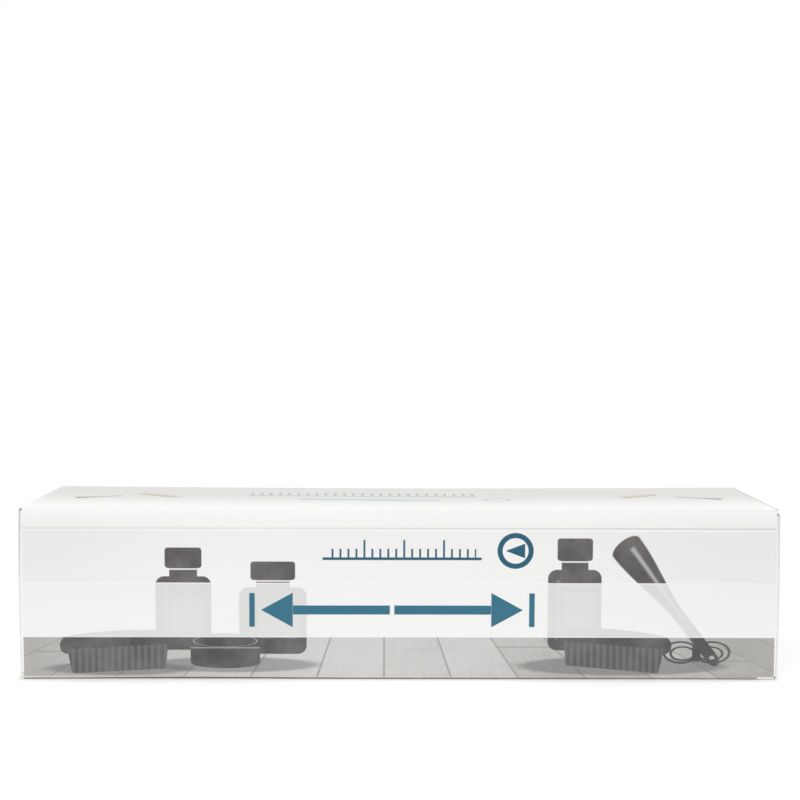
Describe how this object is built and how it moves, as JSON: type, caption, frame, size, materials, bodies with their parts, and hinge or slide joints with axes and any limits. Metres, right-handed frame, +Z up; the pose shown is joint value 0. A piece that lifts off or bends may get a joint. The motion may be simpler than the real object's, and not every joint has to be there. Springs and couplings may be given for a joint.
{
  "type": "boxed shoe stretcher",
  "caption": "Closed tuck-end folding carton holding a wooden shoe stretcher: split toe form on a toe hinge, wedge and threaded spindle with a round knob.",
  "frame": {"origin": "centre of the carton's underside, on the surface that it lies on", "axes": "+X along the carton towards the stretcher's toe, +Y from the printed front panel to the back panel, +Z up"},
  "size_m": [0.3834, 0.1, 0.087],
  "materials": {
    "printed_board": "satin",
    "beech": "satin",
    "black_enamel": "satin",
    "plated_steel": "satin",
    "bright_steel": "polished",
    "fastener_steel": "satin",
    "black_oxide": "satin",
    "spring_wire": "satin",
    "knob_lacquer": "gloss",
    "ferrule_brass": "satin"
  },
  "bodies": {
    "carton": {"front_panel": "printed_board", "back_panel": "printed_board", "top_panel": "printed_board", "bottom_panel": "printed_board", "glue_flap": "printed_board"},
    "left_flap": {"left_main_flap": "printed_board"},
    "left_flange": {"left_tuck_flange": "printed_board"},
    "left_front_dust": {"left_front_dust_flap": "printed_board"},
    "left_back_dust": {"left_back_dust_flap": "printed_board"},
    "right_flap": {"right_main_flap": "printed_board"},
    "right_flange": {"right_tuck_flange": "printed_board"},
    "right_front_dust": {"right_front_dust_flap": "printed_board"},
    "right_back_dust": {"right_back_dust_flap": "printed_board"},
    "stretcher_frame": {"bearing_housing": "black_enamel", "centre_bar": "plated_steel", "bar_screws": "fastener_steel", "toe_hinge_pin": "plated_steel", "return_spring": "spring_wire"},
    "spindle": {"spindle_rod": "bright_steel", "inner_collar": "plated_steel", "outer_collar": "plated_steel", "collar_screws": "black_oxide", "knob": "knob_lacquer", "knob_ferrule": "ferrule_brass", "knob_pin": "fastener_steel"},
    "spreader": {"spreader_wedge": "plated_steel"},
    "half_left": {"form_half_left": "beech", "hinge_leaf_left": "plated_steel", "hinge_screws_left": "fastener_steel", "wear_pad_left": "plated_steel", "pad_screws_left": "fastener_steel", "spring_anchor_left": "fastener_steel", "bunion_plug_left": "beech"},
    "half_right": {"form_half_right": "beech", "hinge_leaf_right": "plated_steel", "hinge_screws_right": "fastener_steel", "wear_pad_right": "plated_steel", "pad_screws_right": "fastener_steel", "spring_anchor_right": "fastener_steel", "bunion_plug_right": "beech"}
  },
  "joints": [
    {"name": "stretcher_slide", "type": "slide", "parent": "carton", "child": "stretcher_frame", "axis": [-1, 0, 0], "range_m": [0, 0.39]},
    {"name": "left_flap_swing", "type": "hinge", "parent": "carton", "child": "left_flap", "pos_m": [-0.1909, 0, 0.087], "axis": [0, 1, 0], "range_deg": [0, 236]},
    {"name": "left_flange_fold", "type": "hinge", "parent": "left_flap", "child": "left_flange", "pos_m": [-0.1903, 0, 0.002], "axis": [0, 1, 0], "range_deg": [0, 36.25]},
    {"name": "left_front_dust_swing", "type": "hinge", "parent": "carton", "child": "left_front_dust", "pos_m": [-0.19, -0.0497, 0.043], "axis": [0, 0, 1], "range_deg": [0, 118.5]},
    {"name": "left_back_dust_swing", "type": "hinge", "parent": "carton", "child": "left_back_dust", "pos_m": [-0.19, 0.0497, 0.043], "axis": [0, 0, -1], "range_deg": [0, 118.5]},
    {"name": "right_flap_swing", "type": "hinge", "parent": "carton", "child": "right_flap", "pos_m": [0.1909, 0, 0], "axis": [0, 1, 0], "range_deg": [0, 88]},
    {"name": "right_flange_fold", "type": "hinge", "parent": "right_flap", "child": "right_flange", "pos_m": [0.1903, 0, 0.085], "axis": [0, 1, 0], "range_deg": [0, 18.6]},
    {"name": "right_front_dust_swing", "type": "hinge", "parent": "carton", "child": "right_front_dust", "pos_m": [0.19, -0.0497, 0.043], "axis": [0, 0, -1], "range_deg": [0, 71.4]},
    {"name": "right_back_dust_swing", "type": "hinge", "parent": "carton", "child": "right_back_dust", "pos_m": [0.19, 0.0497, 0.043], "axis": [0, 0, 1], "range_deg": [0, 71.4]},
    {"name": "knob_turn", "type": "hinge", "parent": "stretcher_frame", "child": "spindle", "pos_m": [-0.148, 0, 0.03], "axis": [1, 0, 0], "range_deg": [0, 3610]},
    {"name": "wedge_travel", "type": "slide", "parent": "stretcher_frame", "child": "spreader", "axis": [1, 0, 0], "range_m": [0, 0.02]},
    {"name": "left_half_swing", "type": "hinge", "parent": "stretcher_frame", "child": "half_left", "pos_m": [0.176, 0, 0.015], "axis": [0, 0, -1], "range_deg": [0, 4.4], "deforming": ["return_spring"]},
    {"name": "right_half_swing", "type": "hinge", "parent": "stretcher_frame", "child": "half_right", "pos_m": [0.176, 0, 0.015], "axis": [0, 0, 1], "range_deg": [0, 4.4]}
  ],
  "couplings": [
    {"joint": "left_flap_swing", "follows": "stretcher_slide", "rad_per_m": 10.517},
    {"joint": "left_flange_fold", "follows": "stretcher_slide", "rad_per_m": 1.5775},
    {"joint": "left_front_dust_swing", "follows": "stretcher_slide", "rad_per_m": 5.2584},
    {"joint": "left_back_dust_swing", "follows": "stretcher_slide", "rad_per_m": 5.2584},
    {"joint": "right_flange_fold", "follows": "right_flap_swing", "ratio": 0.2},
    {"joint": "right_front_dust_swing", "follows": "right_flap_swing", "ratio": 0.8},
    {"joint": "right_back_dust_swing", "follows": "right_flap_swing", "ratio": 0.8},
    {"joint": "knob_turn", "follows": "wedge_travel", "rad_per_m": 3141.6},
    {"joint": "left_half_swing", "follows": "wedge_travel", "rad_per_m": 3.7525},
    {"joint": "right_half_swing", "follows": "wedge_travel", "rad_per_m": 3.7525}
  ]
}
